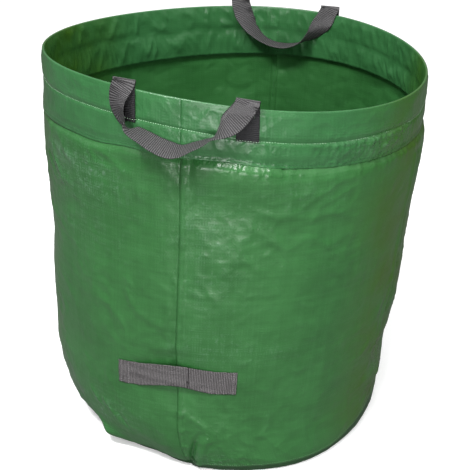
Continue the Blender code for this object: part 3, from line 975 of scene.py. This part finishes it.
def handle_end(name, node_name, handle, side):
    left, right, along, outward = crease_frame(handle)
    crease = left if side < 0 else right
    tab_turn = handle["middle"] + side * handle["spread"]
    upward = outward.cross(along)
    upward = upward if upward.z > 0 else -upward

    def spot(u, v):
        across = mix(-WEBBING_WIDTH / 2, WEBBING_WIDTH / 2, u)
        length = v * (TAB_DROP + CREASE_RISE)
        drop = TAB_DROP - length
        turn = tab_turn + turn_of(across)
        lying = place_drop(turn, drop, TAB_OUT + rib_lift(length, across))
        lying += outward_at(turn) * 0.0006 * cloth_noise(turn, max(drop, 0.0), 0.02, 1.0, 5.0)
        top = crease + along * across - outward * CREASE_RADIUS - upward * (drop + CREASE_RISE)
        return lying.lerp(top, ease(-drop, -0.004, CREASE_RISE)), (length, across), UNCRUSHED_NO_SHEEN

    piece = sheet_mesh(name, TAB_COLUMNS, TAB_ROWS, spot, -WEBBING, WEBBING_IN_PAINTED_SHADE)
    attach(piece, "rim")
    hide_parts(node_name)


for handle_name, handle in (("front", FRONT_HANDLE), ("back", BACK_HANDLE)):
    for side, side_name in ((-1, "left"), (1, "right")):
        node_name = f"{handle_name}_handle_tab_{side_name}"
        handle_end(f"{handle_name}_webbing_end_{side_name}", node_name, handle, side)

# Loops of the carrying handles. The same webbing, one length for each handle, over the crease and
# hanging free. It can't bend edgeways, so it turns on itself on the way down, until its flat side
# faces up where it hangs lowest.

FRONT_LOOP = (
    # turn from the handle's middle, drop and out in mm, and how far it has turned on itself in degrees
    (-18.25, -6, 9, -9),
    (-18.9, 3, 12, -3),
    (-19.5, 16, 14, 5),
    (-19.2, 30, 17, 12),
    (-18.3, 40, 19, 20),
    (-17.1, 48, 22, 30),
    (-16.1, 55, 24, 39),
    (-15.4, 58.3, 25, 47),
    (-14.1, 60.2, 26, 83),
    (-10.6, 67, 26, 98),
    (-6.5, 76, 26, 107),
    (-2.8, 80.5, 26, 110),
    (0.0, 79.5, 25, 101),
    (3.3, 69, 24, 94),
    (6.5, 59, 22, 87),
    (8.6, 51, 21, 80),
    (11.0, 38, 19, 112),
    (13.4, 24, 16, 152),
    (15.6, 10, 12, 172),
    (17.3, -4, 10, 178),
)
BACK_LOOP_LEFT = (
    (-16.9, -5, -3, 2),
    (-16.4, 4, -6, 4),
    (-15.8, 14, -9, 12),
    (-14.5, 26, -13, 30),
    (-12.0, 46, -18, 62),
    (-8.0, 64, -23, 84),
    (-3.0, 74, -25, 90),
)
BACK_LOOP_RIGHT = tuple((-turn, drop, out, 180 - roll) for turn, drop, out, roll in reversed(BACK_LOOP_LEFT))
BACK_LOOP = BACK_LOOP_LEFT + BACK_LOOP_RIGHT
CREASE_STEPS = 8
CURVE_STEPS = 40
WEBBING_STEP, LOOP_COLUMNS = 0.0008, 16


def smooth_between(knots, moments):
    """Points of the smooth curve that passes through the knots at their moments."""
    runs = [after - before for before, after in zip(moments, moments[1:])]
    speeds = [(after - before) / run for before, after, run in zip(knots, knots[1:], runs)]
    slopes = [speeds[0]]
    for number in range(1, len(runs)):
        share = runs[number - 1] / (runs[number - 1] + runs[number])
        slopes.append(speeds[number] * share + speeds[number - 1] * (1 - share))
    slopes.append(speeds[-1])
    found = []
    for number, run in enumerate(runs):
        for step in range(CURVE_STEPS):
            t = step / CURVE_STEPS
            found.append(knots[number] * (2 * t ** 3 - 3 * t ** 2 + 1)
                         + knots[number + 1] * (3 * t ** 2 - 2 * t ** 3)
                         + slopes[number] * run * (t ** 3 - 2 * t ** 2 + t)
                         + slopes[number + 1] * run * (t ** 3 - t ** 2))
    return found + [knots[-1]]


def loop_stations(handle, design):
    """Middle points and width directions of a loop's webbing, from crease to crease."""
    left, right, along, outward = crease_frame(handle)
    upward = Vector((0, 0, 1)) - outward * outward.z
    upward = (upward - along * upward.dot(along)).normalized()
    bend = [pi * (1 - step / CREASE_STEPS) for step in range(CREASE_STEPS + 1)]
    bend = [CREASE_RADIUS * (cos(angle) * outward + sin(angle) * upward) for angle in bend]
    hanging = [place_drop(handle["middle"] + turn, drop / 1000, out / 1000) for turn, drop, out, _ in design]
    widths = [along] * len(bend)
    for (turn, _, _, roll), before, after in zip(design, [left] + hanging, hanging[1:] + [right]):
        ahead = (after - before).normalized()
        facing = outward_at(handle["middle"] + turn) * handle["way"]
        facing = (facing - ahead * facing.dot(ahead)).normalized()
        beside = facing.cross(ahead) * handle["way"]
        widths.append(cos(radians(roll)) * beside + sin(radians(roll)) * facing)
    middles = [left + step for step in bend] + hanging + [right + step for step in reversed(bend)]
    return middles, widths + [along] * len(bend)


def gaps(points):
    return [(after - before).length for before, after in zip(points, points[1:])]


def handle_loop(name, node_name, handle, design):
    middles, widths = loop_stations(handle, design)
    moments = list(accumulate(map(sqrt, gaps(middles)), initial=0.0))
    fine, wide = smooth_between(middles, moments), smooth_between(widths, moments)
    lengths = list(accumulate(gaps(fine), initial=0.0))
    total = lengths[-1]
    steps = round(total / WEBBING_STEP)
    stations, cursor = [], 0
    for number in range(steps + 1):
        length = total * number / steps
        while cursor < len(lengths) - 2 and lengths[cursor + 1] < length:
            cursor += 1
        share = clamped((length - lengths[cursor]) / max(lengths[cursor + 1] - lengths[cursor], 1e-9))
        stations.append((length, *(line[cursor].lerp(line[cursor + 1], share) for line in (fine, wide))))
    frames = []
    for number, (length, middle, width) in enumerate(stations):
        ahead = (stations[min(number + 1, steps)][1] - stations[max(number - 1, 0)][1]).normalized()
        width = (width - ahead * width.dot(ahead)).normalized()
        frames.append((length, middle, width, width.cross(ahead)))

    def spot(u, v):
        length, middle, width, face = frames[round(u * steps)]
        across = mix(-WEBBING_WIDTH / 2, WEBBING_WIDTH / 2, v)
        lift = rib_lift(length, across) * between(length, 0.0, 0.012, total - 0.012, total)
        return middle + width * across + face * lift, (length, across), UNCRUSHED_NO_SHEEN

    piece = sheet_mesh(name, steps, LOOP_COLUMNS, spot, -WEBBING, GREY_WEBBING)
    left, right, _, outward = crease_frame(handle)
    middle = (left + right) / 2
    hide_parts(node_name)
    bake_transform(piece)


handle_loop("front_webbing_loop", "front_handle_loop", FRONT_HANDLE, FRONT_LOOP)
handle_loop("back_webbing_loop", "back_handle_loop", BACK_HANDLE, BACK_LOOP)

# Grab handle. Softer grey tape, sewn a little askew low on the front by its two ends, with two rows
# of stitches across each. The free middle bows off the wall enough for fingers. It is made as two
# lengths that meet at the mark pressed into it where it was folded.

TAPE, TAPE_COLUMNS = 0.0014, 24
GRAB_LENGTH, GRAB_WIDTH, GRAB_HEIGHT, GRAB_RISE = 0.226, 0.048, 0.205, 0.01
GRAB_SEWN, GRAB_BOW, GRAB_ARCH = 0.028, 0.0025, 0.005
GRAB_ROWS, GRAB_STITCHES = (0.006, 0.022), 11
GRAB_STANDS = 0.001
GRAB_RIB = 0.003
GRAB_MARK = 0.026
GRAB_TAPE = webbing_material("grab_tape", (0.188, 0.178, 0.181), (0.014, 0.012, 0.013), GRAB_RIB, 0.0007, 0.25)


def grab_place(along, across, out):
    """Point beside the wall; between its sewn ends the tape is pulled straight over the wall's hollows."""
    turn = degrees(along / wall_radius(0.0, GRAB_HEIGHT))
    height = GRAB_HEIGHT + GRAB_RISE * along / GRAB_LENGTH + across
    height += GRAB_ARCH * (1 - (2 * along / GRAB_LENGTH) ** 2)
    inner = degrees((GRAB_LENGTH / 2 - GRAB_SEWN) / wall_radius(0.0, GRAB_HEIGHT))
    stands = relief(turn, height)
    if abs(turn) < inner:
        straight = mix(relief(-inner, height), relief(inner, height), (turn + inner) / (2 * inner))
        stands = mix(stands, max(straight, stands), ease(inner - abs(turn), 0.0, 3.0))
    return place(turn, height, out + stands)


def grab_lift(along, across):
    wrinkle = 0.0005 * noise.noise((along / 0.012, across / 0.02, 2.0))
    return 0.00018 * sin(2 * pi * along / GRAB_RIB) + wrinkle


def frayed(along, across):
    """Cut edge of the tape, with its yarns' ends uneven."""
    return 0.0009 * noise.noise((across / 0.0016, along * 40, 5.5))


def grab_tape_spot(along, v):
    """Point of the tape at a length from its middle; between its sewn ends it bows off the wall."""
    across = GRAB_WIDTH * (v - 0.5)
    inner, outer = GRAB_LENGTH / 2 - GRAB_SEWN, GRAB_LENGTH / 2
    free = cos(pi / 2 * min(abs(along) / inner, 1.0)) ** 2
    pressed = sum(hill(abs(along), outer - inset, 0.0012) for inset in GRAB_ROWS)
    mark = hill(along, GRAB_MARK, 0.0013)
    out = CLOTH / 2 + GRAB_STANDS + TAPE / 2 + GRAB_BOW * free * mix(1.3, 0.6, v)
    out += grab_lift(along, across) * (1 - 0.5 * pressed) - 0.0003 * pressed - 0.0009 * mark
    spot_dark = hill(along, GRAB_MARK, 0.0022) * hill(across, -0.011, 0.0022)
    lie = (along, across)
    sagging = 0.0006 * noise.noise((along / 0.02, v, 1.5)) + mix(0.0115, 0.007, v) * free
    across += sagging * min(free * 8, 1.0)
    if abs(abs(along) - outer) < 1e-6:
        along += copysign(frayed(along, across), along)
    return grab_place(along, across, out), lie, (min(0.35 * mark + 0.9 * spot_dark, 1.0), 0.0)


def grab_tape(name, node_name, side):
    """One length of the tape, from its sewn end to the mark."""
    end = side * GRAB_LENGTH / 2
    first, last = min(end, GRAB_MARK), max(end, GRAB_MARK)
    steps = round((last - first) / WEBBING_STEP)

    def spot(u, v):
        return grab_tape_spot(mix(first, last, u), v)

    piece = sheet_mesh(name, steps, TAPE_COLUMNS, spot, -TAPE, GRAB_TAPE)
    top = grab_tape_spot(GRAB_MARK, 1.0)[0]
    sewn = grab_tape_spot(side * (GRAB_LENGTH / 2 - GRAB_SEWN), 1.0)[0]
    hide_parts(node_name, "grab_handle_span")
    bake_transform(piece)


PALE_GREY_THREAD = sewing_thread("pale_grey_thread", (0.34, 0.32, 0.33), (0.16, 0.15, 0.16))

for side, side_name in ((-1, "left"), (1, "right")):
    grab_tape(f"grab_tape_{side_name}", f"grab_handle_end_{side_name}", side)
    for number, inset in enumerate(GRAB_ROWS, start=1):
        along = side * (GRAB_LENGTH / 2 - inset)
        half, out = GRAB_WIDTH / GRAB_STITCHES / 2, CLOTH / 2 + TAPE + GRAB_STANDS + STITCH_GAP / 2
        places = []
        for stitch in range(GRAB_STITCHES):
            across = half * (2 * stitch + 1) - GRAB_WIDTH / 2
            low, high = grab_place(along, across - half, out), grab_place(along, across + half, out)
            places.append(((low + high) / 2, high - low, Vector((0, -1, 0))))
        row = stitch_row(f"grab_stitches_{side_name}_{number}", places, PALE_GREY_THREAD)
        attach(row, "grab_ends")
        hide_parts(f"grab_handle_end_{side_name}_row_{number}")

# Floor, backdrop, light and camera. A wide white floor, four soft lamps in front of the bag and
# above it, and a white surround that sheds more light from overhead than from the horizon.

FLOOR_SIZE = 40.0
floor_work = bmesh.new()
bmesh.ops.create_grid(floor_work, x_segments=1, y_segments=1, size=FLOOR_SIZE)
floor = mesh_object("floor", floor_work)
floor_white, tree, shader = plain_material("floor_white")
seen = node(tree, "LightPath")["Is Camera Ray"]
connect(tree, shader, {
    "Base Color": two_tones(seen, (0.2, 0.2, 0.2), (0.92, 0.92, 0.92)),
    "Roughness": 0.9,
    "Specular IOR Level": 0.0,
    "Emission Color": (1.0, 1.0, 1.0, 1.0),
    "Emission Strength": multiply(seen, 0.3),
})
floor.data.materials.append(floor_white)

HORIZON_LIGHT, SKY_LIGHT = 0.09, 1.04
surround = bpy.data.worlds.new("surround")
surround.use_nodes = True
tree = surround.node_tree
direction = node(tree, "TexCoord")["Generated"]
upness = calc("MAXIMUM", node(tree, "SeparateXYZ", {0: direction})[2], 0.0)
level = multiply_add(upness, SKY_LIGHT - HORIZON_LIGHT, HORIZON_LIGHT)
seen = node(tree, "LightPath")["Is Camera Ray"]
connect(tree, tree.nodes["Background"], {0: (1.0, 1.0, 1.0, 1.0), 1: calc("MAXIMUM", level, seen)})
bpy.context.scene.world = surround

BAG_MIDDLE = Vector((0.0, 0.0, 0.4))
LAMPS_AWAY = 3.0


def lamp(name, turn, elevation, size, power, sheen=True):
    light = bpy.data.lights.new(name, "AREA")
    light.energy = power
    light.size = size
    made = add_object(name, light)
    away = outward_at(turn) * cos(radians(elevation)) + Vector((0, 0, sin(radians(elevation))))
    made.location = BAG_MIDDLE + away * LAMPS_AWAY
    made.rotation_euler = away.to_track_quat("Z", "Y").to_euler()
    made.visible_glossy = sheen


lamp("key_lamp", turn=-20.0, elevation=56.0, size=0.42, power=74.0)
lamp("high_lamp", turn=14.0, elevation=60.0, size=0.6, power=34.0)
lamp("front_lamp", turn=8.0, elevation=4.0, size=1.4, power=48.0)
lamp("right_lamp", turn=62.0, elevation=26.0, size=1.4, power=34.0, sheen=False)

CAMERA_PLACE = Vector((0.5279, -1.8234, 1.2829))
CAMERA_VIEW = Vector((-0.24856, 0.86227, -0.44126))
camera_data = bpy.data.cameras.new("camera")
camera_data.lens = 80.91
camera_data.sensor_width = 36.0
camera_data.clip_end = 100.0
camera = add_object("camera", camera_data)
camera.location = CAMERA_PLACE
camera.rotation_euler = CAMERA_VIEW.to_track_quat("-Z", "Y").to_euler()
bpy.context.scene.camera = camera
bpy.context.scene.view_settings.view_transform = "Standard"

bpy.context.view_layer.update()
